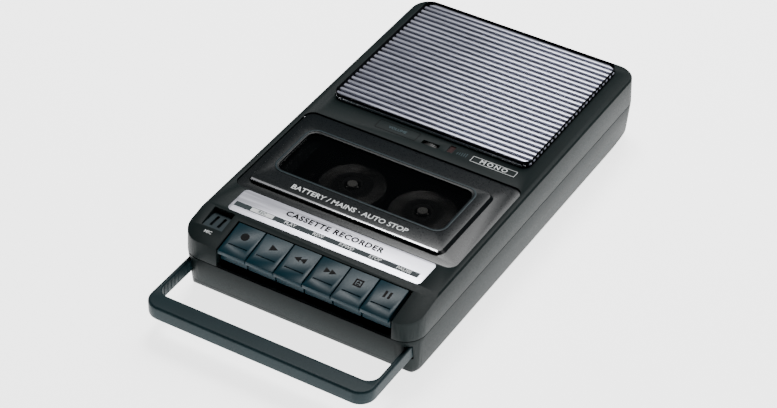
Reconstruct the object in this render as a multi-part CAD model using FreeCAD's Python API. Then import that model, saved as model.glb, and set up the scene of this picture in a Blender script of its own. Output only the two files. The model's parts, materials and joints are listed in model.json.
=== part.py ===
import FreeCAD, Part
import math
import os

# Portable cassette recorder with a slide-out carrying handle, in millimetres.
# X runs across the recorder, Y from the key end to the speaker end, Z up from the rubber feet.
# The handle is drawn out and the cassette lid is shut.

os.makedirs("parts", exist_ok=True)
Vec = FreeCAD.Vector
X_DIR, Y_DIR, Z_DIR = Vec(1, 0, 0), Vec(0, 1, 0), Vec(0, 0, 1)

# overall
body_width = 140.0
body_length = 245.0
foot_height = 2.0
lower_height = 24.0
upper_height = 16.0
corner_radius = 12.0
wall = 2.2
fit_gap = 0.4            # between pieces that move or are dropped in
shaft_clearance = 0.05   # radial, shaft in bore

# casing shape
side_draft = 2.0         # the lower shell narrows this much towards its bottom
top_draft = 0.6
edge_break = 0.8
seam_groove_height = 0.5
seam_groove_depth = 0.8
slope_length = 25.5
slope_drop = 5.0
front_round = 8.0
bevel_length = 28.0
bevel_rise = 7.0

# handle
handle_reach = 38.5
handle_bar_depth = 10.5
handle_height = 8.5
handle_top_drop = 4.0    # below the seam
handle_arm_thickness = 2.6
handle_wall_gap = 1.4    # arm's outer face to the inside of the widest wall
handle_grip_in = 40.0
handle_corner = 9.0

# speaker grille
grille_left_margin = 8.1
grille_right_margin = 11.0
grille_rear_margin = 5.9
strip_length = 16.2      # flat strip between the lid and the grille
grille_seat = 1.0        # grille set into the deck
grille_band = 1.65       # solid band at the grille's front
grille_end_margin = 0.9  # rim left at the bars' ends
grille_rise = 2.0
grille_corner = 5.0
bar_pitch = 3.95
bar_gap = 1.15

# speaker
speaker_radius = 38.5
speaker_depth = 17.0
magnet_radius = 18.0
coil_radius = 9.0
magnet_height = 7.0

# cassette and deck mechanism
deck_centre_x = 4.5
hub_spacing = 42.5
cassette_width = 100.4
cassette_length = 63.8
cassette_height = 8.7
cassette_wall = 1.1
cassette_thick_length = 13.0
cassette_extra = 1.6
hub_to_front = 34.6
hub_to_plate = 38.7      # hub line to the label plate's rear edge
cassette_depth = 4.6     # cassette's top face below the deck
spindle_radius = 2.7
hub_bore = 4.6
hub_radius = 11.0
pack_radius = 18.0
tape_width = 3.8
chassis_thickness = 1.5
chassis_drop = 2.5       # chassis top below the thick part of the cassette
capstan_radius = 1.1
capstan_bush_radius = 3.2
capstan_offset_x = 23.6
capstan_from_front = 5.6
flywheel_radius = 19.0
flywheel_height = 6.0
motor_radius = 13.0
pulley_radius = 4.0
belt_width = 1.6

# lid
lid_side_margin = 4.5
lid_length = 73.5
lid_front_gap = 0.5
lid_corner = 5.0
lid_thickness = 2.0
lid_sink = 0.9           # margin surface below the deck
block_left_margin = 5.0
block_right_margin = 11.5
block_rise = 1.9
block_front_inset = 6.0
block_rear_inset = 12.0
block_corner = 4.0
window_left_margin = 6.5
window_right_margin = 8.0
window_front_inset = 21.0
window_rear_inset = 15.5
window_sink = 0.9
window_corner = 5.5
window_gap = 0.1
hinge_pin_radius = 1.0

# label plate and keys
plate_side_margin = 12.7
plate_length = 18.9
plate_corner = 2.5
plate_thickness = 0.8
key_count = 6
key_gap = 0.8
key_row_left_margin = 23.95
key_row_right_margin = 14.95
key_length = 20.6
key_lip = 2.2
key_lip_inset = 2.6
key_slot_gap = 0.6
key_slot_right_gap = 1.8
key_pivot_back = 7.0     # pivot behind the slope's rear edge
key_pivot_drop = 11.0    # pivot below the deck
key_rod_radius = 1.2
key_barrel_radius = 2.8
key_lever_width = 7.0
key_groove_half = 5.6
key_groove_back = 5.8
key_names = ["record_key", "play_key", "rewind_key", "forward_key", "stop_key", "pause_key"]

# electrics
cell_length = 50.5
cell_diameter = 14.5
cell_count = 4
bay_height = 15.5
contact_thickness = 0.4
jack_radius = 1.8
remote_radius = 1.3
jack_length = 11.0
jack_nose = 2.8
board_thickness = 1.6
transformer_width = 26.0
transformer_length = 28.0
transformer_height = 18.0
inlet_width = 14.0
inlet_height = 8.0
inlet_depth = 13.0
inlet_mouth_half_x = 5.0
inlet_mouth_half_z = 2.6

# fasteners and feet
foot_radius = 5.0
foot_sink = 1.0
screw_radius = 1.5
screw_head_radius = 2.8
boss_radius = 4.0

# microphone pocket, volume wheel and lamp
mic_side_margin = 7.0
mic_width = 12.5
mic_length = 12.8
mic_slope_gap = 1.4      # pocket's rear edge to the slope's rear edge
mic_drop = 2.4
mic_floor = 2.0
mic_cover_gap = 0.15
mic_cover_sink = 0.8
capsule_radius = 4.8
capsule_height = 5.0
wheel_radius = 7.0
wheel_width = 2.4
wheel_sink = 0.3
wheel_notches = 36
led_half_x = 1.6
led_half_y = 2.8
led_sink = 0.5
led_height = 5.0

# heads and pinch roller
head_half_width = 6.0
head_half_height = 2.95
head_shift = 0.8         # head centre from the deck centre
head_depth = 6.6
nose_radius = 6.4
nose_half_width = 5.0
erase_shift = -12.5
erase_half_width = 3.2
pinch_radius = 4.2
pinch_length = 5.8
pinch_spindle_radius = 0.9
pinch_post_radius = 1.5

# datums worked out from the sizes above
total_length = body_length + handle_reach
rear_y = total_length / 2
front_y = rear_y - body_length
half_width = body_width / 2
floor_z = foot_height
seam_z = floor_z + lower_height
deck_z = seam_z + upper_height
slope_y = front_y + slope_length
plate_rear_y = slope_y + plate_length
hub_y = plate_rear_y + hub_to_plate
lid_front_y = plate_rear_y + lid_front_gap
lid_rear_y = lid_front_y + lid_length
lid_half_width = half_width - lid_side_margin
block_left = -lid_half_width + block_left_margin
block_right = lid_half_width - block_right_margin
window_left = block_left + window_left_margin
window_right = block_right - window_right_margin
plate_half_width = half_width - plate_side_margin
lid_top_z = deck_z - lid_sink
cassette_top_z = deck_z - cassette_depth
cassette_bottom_z = cassette_top_z - cassette_height
chassis_top_z = cassette_bottom_z - cassette_extra - chassis_drop
chassis_bottom_z = chassis_top_z - chassis_thickness
cassette_front_y = hub_y - hub_to_front
reel_centres = [deck_centre_x - hub_spacing / 2, deck_centre_x + hub_spacing / 2]
capstan_x = deck_centre_x + capstan_offset_x
capstan_y = cassette_front_y + capstan_from_front
grille_rear_y = rear_y - grille_rear_margin
grille_front_y = lid_rear_y + strip_length
grille_left_x = -half_width + grille_left_margin
grille_right_x = half_width - grille_right_margin
slot_count = int((grille_rear_y - grille_front_y - grille_band - 1.0) / bar_pitch) + 1
speaker_y = (grille_rear_y + grille_front_y) / 2
pivot_y = slope_y + key_pivot_back
pivot_z = deck_z - key_pivot_drop
key_rear_y = front_y + key_length
key_row_left = -half_width + key_row_left_margin
key_row_right = half_width - key_row_right_margin
key_pitch = (key_row_right - key_row_left) / key_count
arm_outer_x = half_width - wall - handle_wall_gap
arm_inner_x = arm_outer_x - handle_arm_thickness
handle_top_z = seam_z - handle_top_drop
handle_bottom_z = handle_top_z - handle_height
bar_front_y = front_y - handle_reach


def box(x0, x1, y0, y1, z0, z1):
    return Part.makeBox(x1 - x0, y1 - y0, z1 - z0, Vec(x0, y0, z0))


def rod(radius, length, x, y, z, direction=Z_DIR):
    return Part.makeCylinder(radius, length, Vec(x, y, z), direction)


def tube(outer, inner, length, x, y, z, direction=Z_DIR):
    return rod(outer, length, x, y, z, direction).cut(rod(inner, length, x, y, z, direction))


def rounded_outline(x0, x1, y0, y1, radius, z):
    """Closed wire: a rectangle with round corners, level at height z."""
    k = radius * (1 - math.sqrt(0.5))
    edges = [
        Part.LineSegment(Vec(x0 + radius, y0, z), Vec(x1 - radius, y0, z)),
        Part.Arc(Vec(x1 - radius, y0, z), Vec(x1 - k, y0 + k, z), Vec(x1, y0 + radius, z)),
        Part.LineSegment(Vec(x1, y0 + radius, z), Vec(x1, y1 - radius, z)),
        Part.Arc(Vec(x1, y1 - radius, z), Vec(x1 - k, y1 - k, z), Vec(x1 - radius, y1, z)),
        Part.LineSegment(Vec(x1 - radius, y1, z), Vec(x0 + radius, y1, z)),
        Part.Arc(Vec(x0 + radius, y1, z), Vec(x0 + k, y1 - k, z), Vec(x0, y1 - radius, z)),
        Part.LineSegment(Vec(x0, y1 - radius, z), Vec(x0, y0 + radius, z)),
        Part.Arc(Vec(x0, y0 + radius, z), Vec(x0 + k, y0 + k, z), Vec(x0 + radius, y0, z)),
    ]
    return Part.Wire([edge.toShape() for edge in edges])


def rounded_block(x0, x1, y0, y1, z0, z1, radius):
    face = Part.Face(rounded_outline(x0, x1, y0, y1, radius, z0))
    return face.extrude(Vec(0, 0, z1 - z0))


def casing_block(levels):
    """Stack of round-cornered outlines; each level is (inset from the widest line, height)."""
    wires = []
    for inset, z in levels:
        wires.append(rounded_outline(-half_width + inset, half_width - inset, front_y + inset,
                                     rear_y - inset, corner_radius - inset, z))
    return Part.makeLoft(wires, True, True)


def side_profile(points):
    """Prism across the whole width from a closed outline of (y, z) points."""
    corners = [Vec(-body_width, y, z) for y, z in points]
    return Part.Face(Part.makePolygon(corners + corners[:1])).extrude(Vec(2 * body_width, 0, 0))


def slope_z(y, drop=0.0):
    """Height of the top surface at y, over the flat deck or the front slope."""
    fall = max(0.0, slope_y - y) * slope_drop / slope_length
    return deck_z - fall - drop


def save(name, shape):
    shape.exportStep("parts/" + name + ".step")


def group(pieces):
    return Part.makeCompound(pieces)


# casing
bay_half_x = cell_length / 2 + 1.6
bay_half_y = cell_count * cell_diameter / 2 + 0.8
bay_y = speaker_y - 3.0
bay_wall = 1.3
bay_top_z = floor_z + wall + bay_height
cover_hinge_y = bay_y - bay_half_y + wall / 2
inlet_x = -half_width + 24.0
inlet_z = seam_z - 6.5
jack_z = seam_z - 8.0
jack_first_y = lid_rear_y + 20.85
jack_places = [(jack_radius, jack_first_y), (jack_radius, jack_first_y + 13.0),
               (remote_radius, jack_first_y + 25.0)]    # bore and y: earphone, microphone, remote
screw_rows = [(half_width - 12.5, slope_y + 17.25), (half_width - 11.0, lid_rear_y + 8.85),
              (half_width - 10.0, bay_y + 11.25)]
screw_places = [(side * x, y) for x, y in screw_rows for side in (-1, 1)]
foot_x = half_width - 14.0
foot_places = [(side * foot_x, y) for y in (front_y + 19.25, rear_y - 37.75) for side in (-1, 1)]
board_hole_x0 = half_width - 46.0
board_hole_x1 = half_width - 19.0
board_hole_y0 = lid_rear_y + 4.85
board_hole_y1 = board_hole_y0 + 24.0
board_screw_places = [(x, y) for y in (board_hole_y0, board_hole_y1) for x in (board_hole_x0, board_hole_x1)]
board_screw_radius = 1.0
board_post_radius = 2.6
board_z = floor_z + wall + 5.0
hinge_inset = 5.0
hinge_y = lid_rear_y - hinge_inset
hinge_z = lid_top_z - lid_thickness / 2
recess_z = lid_top_z - lid_thickness - fit_gap
ledge_thickness = 2.0
trough_z = hinge_z - hinge_inset - 1.2
trough_floor = 1.6
well_x0 = deck_centre_x - cassette_width / 2 - 0.8
well_x1 = deck_centre_x + cassette_width / 2 + 0.8
well_y0 = cassette_front_y - 0.8
well_y1 = cassette_front_y + cassette_length + 0.8
mic_x0 = -half_width + mic_side_margin
mic_x1 = mic_x0 + mic_width
mic_y1 = slope_y - mic_slope_gap
mic_y0 = mic_y1 - mic_length
wheel_x = deck_centre_x + 0.2
wheel_y = lid_rear_y + 8.6
wheel_z = deck_z - wheel_sink - wheel_radius
wheel_slot_half = math.sqrt(wheel_radius ** 2 - (deck_z - wall - wheel_z) ** 2) + 0.3
led_x = deck_centre_x + 11.8
led_y = lid_rear_y + 10.6


def lower_form(inset):
    """Outer form of the lower casing, or its inside when inset is the wall."""
    rise = min(inset, wall)
    top = seam_z if inset == 0 else seam_z + 1.0
    bottom = floor_z + rise
    form = casing_block([(inset + side_draft + 1.4, bottom), (inset + side_draft + 0.3, bottom + 1.0),
                         (inset + side_draft * 0.85, bottom + 3.0), (inset, top)])
    far, deep = rear_y + 10.0, floor_z - 10.0
    bevel_far = floor_z + bevel_rise * (bevel_length + 10.0) / bevel_length + rise
    form = form.cut(side_profile([(rear_y - bevel_length, floor_z + rise), (far, bevel_far), (far, deep),
                                  (rear_y - bevel_length, deep)]))
    round_y, round_z = front_y + side_draft + front_round, floor_z + front_round
    corner = box(-body_width, body_width, front_y - 5.0, round_y, deep, round_z)
    roller = rod(front_round - inset, 2 * body_width, -body_width, round_y, round_z, X_DIR)
    return form.cut(corner.cut(roller))


def upper_form(inset):
    """Outer form of the upper casing, or its inside when inset is the wall."""
    bottom = seam_z if inset == 0 else seam_z - 1.0
    top = deck_z - inset
    form = casing_block([(inset, bottom), (inset + top_draft, top - edge_break),
                         (inset + top_draft + edge_break, top)])
    high = deck_z + 10.0
    wedge = side_profile([(slope_y, top), (front_y - 5.0, slope_z(front_y - 5.0, inset)),
                          (front_y - 5.0, high), (slope_y, high)])
    return form.cut(wedge)


def make_lower_shell():
    shell = lower_form(0).cut(lower_form(wall))
    inside = lower_form(wall * 0.5)
    floor_in = floor_z + wall * 0.5
    ribs = []
    rail_x0, rail_x1 = arm_inner_x - fit_gap - 1.6, arm_inner_x - fit_gap
    for side in (-1, 1):
        x0, x1 = sorted([side * rail_x0, side * rail_x1])
        ribs.append(box(x0, x1, front_y + wall * 0.5, front_y + 78.0, floor_in, handle_top_z))
        shelf0, shelf1 = sorted([side * rail_x0, side * (arm_outer_x + wall)])
        ribs.append(box(shelf0, shelf1, front_y + corner_radius, front_y + 78.0, floor_in,
                        handle_bottom_z - fit_gap))
    for x, y in screw_places:
        ribs.append(rod(boss_radius, seam_z - floor_in, x, y, floor_in))
    for x, y in board_screw_places:
        ribs.append(rod(board_post_radius, board_z - floor_in, x, y, floor_in))
    ribs.append(box(-bay_half_x - bay_wall, bay_half_x + bay_wall, bay_y - bay_half_y - bay_wall,
                    bay_y + bay_half_y + bay_wall, floor_in, bay_top_z + bay_wall))
    for rib in ribs:
        shell = shell.fuse(rib.common(inside))
    groove = box(-half_width - 1.0, half_width + 1.0, front_y - 1.0, rear_y + 1.0,
                 seam_z - seam_groove_height, seam_z)
    core = casing_block([(seam_groove_depth, seam_z - 1.0), (seam_groove_depth, seam_z + 1.0)])
    shell = shell.cut(groove.cut(core))
    for side in (-1, 1):
        x0, x1 = sorted([side * (arm_inner_x - fit_gap), side * (arm_outer_x + fit_gap)])
        shell = shell.cut(box(x0, x1, front_y - 1.0, front_y + corner_radius, handle_bottom_z - fit_gap,
                              handle_top_z + fit_gap))
    shell = shell.cut(box(-bay_half_x, bay_half_x, bay_y - bay_half_y, bay_y + bay_half_y, floor_z - 1.0,
                          bay_top_z))
    shell = shell.cut(inlet_block(0.2))
    for bore, y in jack_places:
        shell = shell.cut(rod(bore + 0.5, 12.0, -half_width - 2.0, y, jack_z, X_DIR))
    for x, y in screw_places:
        shell = shell.cut(rod(screw_radius + 0.3, lower_height, x, y, floor_z))
        shell = shell.cut(rod(screw_head_radius + 0.2, 3.0, x, y, floor_z - 0.5))
    for x, y in board_screw_places:
        shell = shell.cut(rod(board_screw_radius + shaft_clearance, board_z - floor_in, x, y, board_z - 4.0))
    for x, y in foot_places:
        shell = shell.cut(rod(foot_radius + 0.1, foot_sink, x, y, floor_z))
    save("lower_shell", shell.removeSplitter())


def inlet_block(gap):
    x0, x1 = inlet_x - inlet_width / 2 - gap, inlet_x + inlet_width / 2 + gap
    return box(x0, x1, rear_y - inlet_depth, rear_y + 2.0, inlet_z - inlet_height / 2 - gap,
               inlet_z + inlet_height / 2 + gap)


def make_upper_shell():
    shell = upper_form(0).cut(upper_form(wall))
    inside = upper_form(wall * 0.5)
    lid_x = lid_half_width + fit_gap
    under = deck_z - wall * 0.5
    ledge = box(-lid_x - wall, lid_x + wall, lid_front_y - wall, lid_rear_y + fit_gap + wall,
                recess_z - ledge_thickness, under)
    trough = box(-lid_x - wall, lid_x + wall, well_y1 - 0.2, lid_rear_y + fit_gap + wall,
                 trough_z - trough_floor, under)
    mic_box = box(mic_x0 - 1.2, mic_x1 + 1.2, mic_y0 - 1.2, mic_y1 + 1.2,
                  slope_z(mic_y0) - mic_drop - mic_floor, under)
    cheek_left = box(key_row_left - key_slot_gap - wall, key_row_left - key_slot_gap, front_y, key_rear_y,
                     seam_z, under)
    slot_right = key_row_right + key_slot_right_gap
    cheek_right = box(slot_right, slot_right + wall, front_y, key_rear_y, seam_z, under)
    for rib in (ledge, trough, mic_box, cheek_left, cheek_right):
        shell = shell.fuse(rib.common(inside))
    for x, y in screw_places:
        depth = deck_z - seam_z - wall * 0.5
        shell = shell.fuse(rod(boss_radius, depth, x, y, seam_z).common(inside))
    shell = shell.cut(rounded_block(-lid_x, lid_x, lid_front_y - fit_gap, lid_rear_y + fit_gap, recess_z,
                                    deck_z + 5.0, lid_corner + fit_gap))
    shell = shell.cut(box(well_x0, well_x1, well_y0, well_y1, recess_z - 20.0, deck_z))
    shell = shell.cut(box(-lid_x, lid_x, well_y1 - 2.0, lid_rear_y + fit_gap, trough_z, recess_z + 0.1))
    pin_reach = lid_x + 1.6
    shell = shell.cut(rod(hinge_pin_radius + shaft_clearance, 2 * pin_reach, -pin_reach, hinge_y, hinge_z,
                          X_DIR))
    shell = shell.cut(grille_outline(fit_gap / 2, deck_z - grille_seat, deck_z + 5.0))
    shell = shell.cut(grille_outline(-2.0, deck_z - 5.0, deck_z + 5.0))
    shell = shell.cut(box(key_row_left - key_slot_gap, slot_right, front_y - 2.0, key_rear_y + key_slot_gap,
                          seam_z - 2.0, deck_z + 2.0))
    shell = shell.cut(label_outline(0.1, deck_z - plate_thickness))
    shell = shell.cut(box(mic_x0, mic_x1, mic_y0, mic_y1, slope_z(mic_y0) - mic_drop, deck_z + 2.0))
    slot_y = wheel_width / 2 + fit_gap
    shell = shell.cut(box(wheel_x - wheel_slot_half, wheel_x + wheel_slot_half, wheel_y - slot_y,
                          wheel_y + slot_y, deck_z - 5.0, deck_z + 2.0))
    shell = shell.cut(box(led_x - led_half_x - 0.1, led_x + led_half_x + 0.1, led_y - led_half_y - 0.1,
                          led_y + led_half_y + 0.1, deck_z - 5.0, deck_z + 2.0))
    for x, y in screw_places:
        shell = shell.cut(rod(screw_radius + shaft_clearance, 8.0, x, y, seam_z - 0.5))
    save("upper_shell", shell.removeSplitter())


def grille_outline(grow, z0, z1):
    return rounded_block(grille_left_x - grow, grille_right_x + grow, grille_front_y - grow,
                         grille_rear_y + grow, z0, z1, grille_corner + grow)


def label_outline(gap, z0):
    return rounded_block(-plate_half_width - gap, plate_half_width + gap, slope_y + 0.3 - gap,
                         plate_rear_y - 0.3 + gap, z0, z0 + plate_thickness, plate_corner)


def make_grille():
    grille = grille_outline(0, deck_z - grille_seat, deck_z + grille_rise)
    first = grille_front_y + grille_band
    for index in range(slot_count):
        y = first + index * bar_pitch
        from_end = min(y - grille_front_y, grille_rear_y - y - bar_gap, grille_corner)
        inset = grille_corner - math.sqrt(grille_corner ** 2 - (grille_corner - from_end) ** 2)
        slot_x0 = grille_left_x + inset + grille_end_margin
        slot_x1 = grille_right_x - inset - grille_end_margin
        grille = grille.cut(box(slot_x0, slot_x1, y, y + bar_gap, deck_z - 2.0, deck_z + 5.0))
    save("speaker_grille", grille)


def make_speaker():
    top = deck_z - wall - 0.2
    flange = tube(speaker_radius, speaker_radius - 5.5, 1.2, 0, speaker_y, top - 1.2)
    basket_low = top - speaker_depth + magnet_height
    outer = Part.makeCone(magnet_radius + 1.0, speaker_radius - 3.0, top - 1.2 - basket_low,
                          Vec(0, speaker_y, basket_low), Z_DIR)
    inner = Part.makeCone(magnet_radius - 1.0, speaker_radius - 4.8, top - 1.2 - basket_low,
                          Vec(0, speaker_y, basket_low), Z_DIR)
    save("speaker_frame", flange.fuse(outer.cut(inner)).removeSplitter())
    cone_low = basket_low + 1.6
    cone_height = top - 0.4 - cone_low
    apex = Vec(0, speaker_y, cone_low)
    cone_out = Part.makeCone(coil_radius, speaker_radius - 6.4, cone_height, apex, Z_DIR)
    cone_in = Part.makeCone(coil_radius - 0.8, speaker_radius - 7.2, cone_height, apex, Z_DIR)
    cap = Part.makeSphere(coil_radius, Vec(0, speaker_y, cone_low - 3.0))
    cap = cap.common(box(-10, 10, speaker_y - 10, speaker_y + 10, cone_low, top))
    save("speaker_cone", cone_out.cut(cone_in).fuse(cap.common(cone_out)).removeSplitter())
    save("speaker_magnet", rod(magnet_radius, magnet_height, 0, speaker_y, top - speaker_depth))


def make_trim_pieces():
    save("label_plate", label_outline(0, deck_z - plate_thickness))
    gap = mic_cover_gap
    bezel = box(mic_x0 + gap, mic_x1 - gap, mic_y0 + gap, mic_y1 - gap, slope_z(mic_y0) - mic_drop,
                slope_z(mic_y0) - mic_cover_sink)
    for x in (mic_x0 + 3.2, mic_x0 + 7.6):
        bezel = bezel.cut(box(x, x + 1.7, mic_y0 + 2.4, mic_y1 - 2.4, 0, deck_z))
    save("microphone_cover", bezel)
    capsule_z = slope_z(mic_y0) - mic_drop - mic_floor - 0.2 - capsule_height
    mic_x, mic_y = (mic_x0 + mic_x1) / 2, (mic_y0 + mic_y1) / 2
    save("microphone_capsule", rod(capsule_radius, capsule_height, mic_x, mic_y, capsule_z))
    led_top = deck_z - led_sink
    led = box(led_x - led_half_x, led_x + led_half_x, led_y - led_half_y, led_y + led_half_y,
              led_top - led_height, led_top)
    save("recording_lamp", led)


def make_handle():
    outer = rounded_block(-arm_outer_x, arm_outer_x, bar_front_y, bar_front_y + 60.0, handle_bottom_z,
                          handle_top_z, handle_corner)
    outer = outer.common(box(-body_width, body_width, bar_front_y - 1, bar_front_y + 40, 0, deck_z))
    inner = rounded_block(-arm_inner_x, arm_inner_x, bar_front_y + handle_bar_depth, bar_front_y + 80.0, 0,
                          deck_z, handle_corner - handle_arm_thickness)
    bow = outer.cut(inner)
    for side in (-1, 1):
        x0, x1 = sorted([side * arm_inner_x, side * arm_outer_x])
        bow = bow.fuse(box(x0, x1, bar_front_y + 39.0, front_y + handle_grip_in, handle_bottom_z,
                           handle_top_z))
    bow = bow.removeSplitter()
    edges = [e for e in bow.Edges if e.BoundBox.YMin < bar_front_y + 0.01 and e.Length > 80.0]
    save("carrying_handle", bow.makeFillet(1.4, edges))
    springs = []
    for side in (-1, 1):
        x0, x1 = sorted([side * (arm_inner_x - fit_gap - 1.8), side * (arm_inner_x - fit_gap - 2.3)])
        springs.append(box(x0, x1, front_y + 20.0, front_y + 37.0, floor_z + wall + 1.0, handle_top_z))
    save("handle_click_springs", group(springs))


def make_lid():
    x0, x1 = -lid_half_width, lid_half_width
    bottom = lid_top_z - lid_thickness
    plate = rounded_block(x0, x1, lid_front_y, lid_rear_y, bottom, lid_top_z, lid_corner)
    block_y0, block_y1 = lid_front_y + block_front_inset, lid_rear_y - block_rear_inset
    low = rounded_outline(block_left - 1.5, block_right + 1.5, block_y0 - 0.2, block_y1 + 1.5,
                          block_corner + 1, lid_top_z)
    high = rounded_outline(block_left, block_right, block_y0, block_y1, block_corner, lid_top_z + block_rise)
    frame = plate.fuse(Part.makeLoft([low, high], True, True))
    win_y0, win_y1 = lid_front_y + window_front_inset, lid_rear_y - window_rear_inset
    frame = frame.cut(rounded_block(window_left, window_right, win_y0, win_y1, bottom - 1, deck_z + 5,
                                    window_corner))
    rim = rounded_block(window_left - 1.5, window_right + 1.5, win_y0 - 1.5, win_y1 + 1.5, bottom - 1,
                        bottom + 1.2, 3.0)
    frame = frame.cut(rim)
    trim_top = lid_top_z + block_rise
    trim_y0, trim_y1 = block_y0 + 0.3, block_y0 + 1.7
    trim_x0, trim_x1 = block_left + 1.2, block_right - 1.2
    frame = frame.cut(box(trim_x0, trim_x1, trim_y0, trim_y1, trim_top - 0.5, trim_top + 1))
    for side in (-1, 1):
        start = side * (lid_half_width - 4.0)
        frame = frame.cut(rod(hinge_pin_radius, 4.5, start, hinge_y, hinge_z, X_DIR * side))
    save("cassette_lid", frame.removeSplitter())
    save("lid_trim_strip", box(trim_x0, trim_x1, trim_y0, trim_y1, trim_top - 0.5, trim_top + 0.15))
    pane = rounded_block(window_left - 1.4, window_right + 1.4, win_y0 - 1.4, win_y1 + 1.4, bottom,
                         bottom + 1.2, 3.0)
    pane = pane.fuse(rounded_block(window_left + window_gap, window_right - window_gap, win_y0 + window_gap,
                                   win_y1 - window_gap, bottom, trim_top - window_sink,
                                   window_corner - window_gap))
    save("lid_window", pane.removeSplitter())
    pins = []
    for side in (-1, 1):
        start = side * (lid_half_width - 4.0)
        pins.append(rod(hinge_pin_radius, 4.0 + fit_gap + 1.4, start, hinge_y, hinge_z, X_DIR * side))
    save("lid_hinge_pins", group(pins))


def make_keys():
    bottom = pivot_z - 1.5
    front = front_y + 0.3
    for index in range(key_count):
        x0 = key_row_left + index * key_pitch + key_gap / 2
        x1 = x0 + key_pitch - key_gap
        middle = (x0 + x1) / 2
        lip_z = slope_z(front) - key_lip
        outline = [(key_rear_y, bottom), (key_rear_y, slope_z(key_rear_y)), (front, slope_z(front)),
                   (front, lip_z), (front + key_lip_inset, lip_z - 0.8), (front + key_lip_inset, bottom)]
        corners = [Vec(x0, y, z) for y, z in outline]
        cap = Part.Face(Part.makePolygon(corners + corners[:1])).extrude(Vec(x1 - x0, 0, 0))
        groove_y = front + key_groove_back
        cap = cap.cut(box(middle - key_groove_half, middle + key_groove_half, groove_y, groove_y + 0.7,
                          slope_z(groove_y) - 0.4, deck_z))
        lever_x = middle - key_lever_width / 2
        lever = box(lever_x, lever_x + key_lever_width, key_rear_y - 1.0, pivot_y + 6.5, bottom,
                    pivot_z + 1.5)
        barrel = rod(key_barrel_radius, key_lever_width, lever_x, pivot_y, pivot_z, X_DIR)
        bore = rod(key_rod_radius + shaft_clearance, key_pitch, x0, pivot_y, pivot_z, X_DIR)
        save(key_names[index], cap.fuse(lever).fuse(barrel).cut(bore).removeSplitter())


def make_key_supports():
    start, end = key_lugs[0][0] - 0.3, key_lugs[1][1] + 0.3
    save("key_pivot_rod", rod(key_rod_radius, end - start, start, pivot_y, pivot_z, X_DIR))
    springs = []
    for index in range(key_count):
        x = key_row_left + (index + 0.5) * key_pitch
        springs.append(tube(1.5, 1.0, pivot_z - 1.5 - chassis_top_z, x, pivot_y + 4.8, chassis_top_z))
    save("key_springs", group(springs))


# cassette deck
lug_gap, lug_thickness = 0.5, 1.5
first_lever_x = key_row_left + key_pitch / 2 - key_lever_width / 2
last_lever_x = key_row_right - key_pitch / 2 + key_lever_width / 2
key_lugs = [(first_lever_x - lug_gap - lug_thickness, first_lever_x - lug_gap),
            (last_lever_x + lug_gap, last_lever_x + lug_gap + lug_thickness)]
chassis_x0, chassis_x1 = deck_centre_x - 54.0, deck_centre_x + 48.5
chassis_y0, chassis_y1 = pivot_y - 6.0, well_y1 + 4.0
reel_bush_radius = 3.4
reel_shaft_radius = 2.0
take_pulley_radius = 7.0
flywheel_hub_radius = 4.0
flywheel_z = floor_z + wall + 5.0
take_belt_z = flywheel_z + flywheel_height + 1.0
motor_x, motor_y = deck_centre_x - 42.5, lid_rear_y + 14.0
motor_z = flywheel_z + 4.4
motor_height = trough_z - trough_floor - 0.3 - motor_z
main_belt_z = flywheel_z + 1.6
pillar_radius = 1.4
pillar_reach = flywheel_radius + 2.8
bracket_half_width = 3.5
tape_z = cassette_bottom_z + cassette_height / 2
bridge_z = chassis_top_z + 0.4
bridge_thickness = 1.4
head_rear_y = cassette_front_y - head_depth
pinch_y = cassette_front_y - pinch_radius - 0.9
pinch_pivot_x, pinch_pivot_y = capstan_x + 15.5, pinch_y - 1.6


def make_chassis():
    plate = box(chassis_x0, chassis_x1, chassis_y0, chassis_y1, chassis_bottom_z, chassis_top_z)
    for x0, x1 in key_lugs:
        plate = plate.fuse(box(x0, x1, pivot_y - 3.0, pivot_y + 3.0, chassis_top_z - 0.5, pivot_z + 2.8))
    plate = plate.cut(rod(key_rod_radius, 200.0, -100.0, pivot_y, pivot_z, X_DIR))
    for x in reel_centres:
        plate = plate.cut(rod(reel_bush_radius, 10.0, x, hub_y, chassis_bottom_z - 5.0))
    plate = plate.cut(rod(capstan_bush_radius, 10.0, capstan_x, capstan_y, chassis_bottom_z - 5.0))
    legs = []
    for x, y in [(chassis_x0 + 4.0, chassis_y0 + 4.0), (chassis_x0 + 4.0, chassis_y1 - 4.0),
                 (chassis_x1 - 4.0, chassis_y1 - 4.0), (chassis_x1 - 4.0, chassis_y0 + 4.0)]:
        legs.append(rod(2.2, chassis_bottom_z - floor_z - wall, x, y, floor_z + wall))
    save("chassis_plate", plate.removeSplitter())
    save("chassis_pillars", group(legs))
    bushes = []
    for x in reel_centres:
        low = take_belt_z + 2.6
        bushes.append(tube(reel_bush_radius, reel_shaft_radius + shaft_clearance, chassis_top_z - low, x,
                           hub_y, low))
    save("reel_bushes", group(bushes))
    low = take_belt_z + 3.2
    bush_height = chassis_top_z + 0.4 - low
    save("capstan_bush", tube(capstan_bush_radius, capstan_radius + shaft_clearance, bush_height, capstan_x,
                              capstan_y, low))
    bridge_low, bridge_high = flywheel_z - 2.6, flywheel_z - 1.2
    half, reach = bracket_half_width, pillar_reach + 2.0
    bridge = box(capstan_x - half, capstan_x + reach, capstan_y - half, capstan_y + half, bridge_low,
                 bridge_high)
    bridge = bridge.fuse(box(capstan_x - half, capstan_x + half, capstan_y - reach, capstan_y, bridge_low,
                             bridge_high))
    for x, y in [(capstan_x + pillar_reach, capstan_y), (capstan_x, capstan_y - pillar_reach)]:
        bridge = bridge.fuse(rod(pillar_radius, chassis_bottom_z - bridge_high, x, y, bridge_high))
    save("flywheel_bracket", bridge.removeSplitter())


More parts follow.
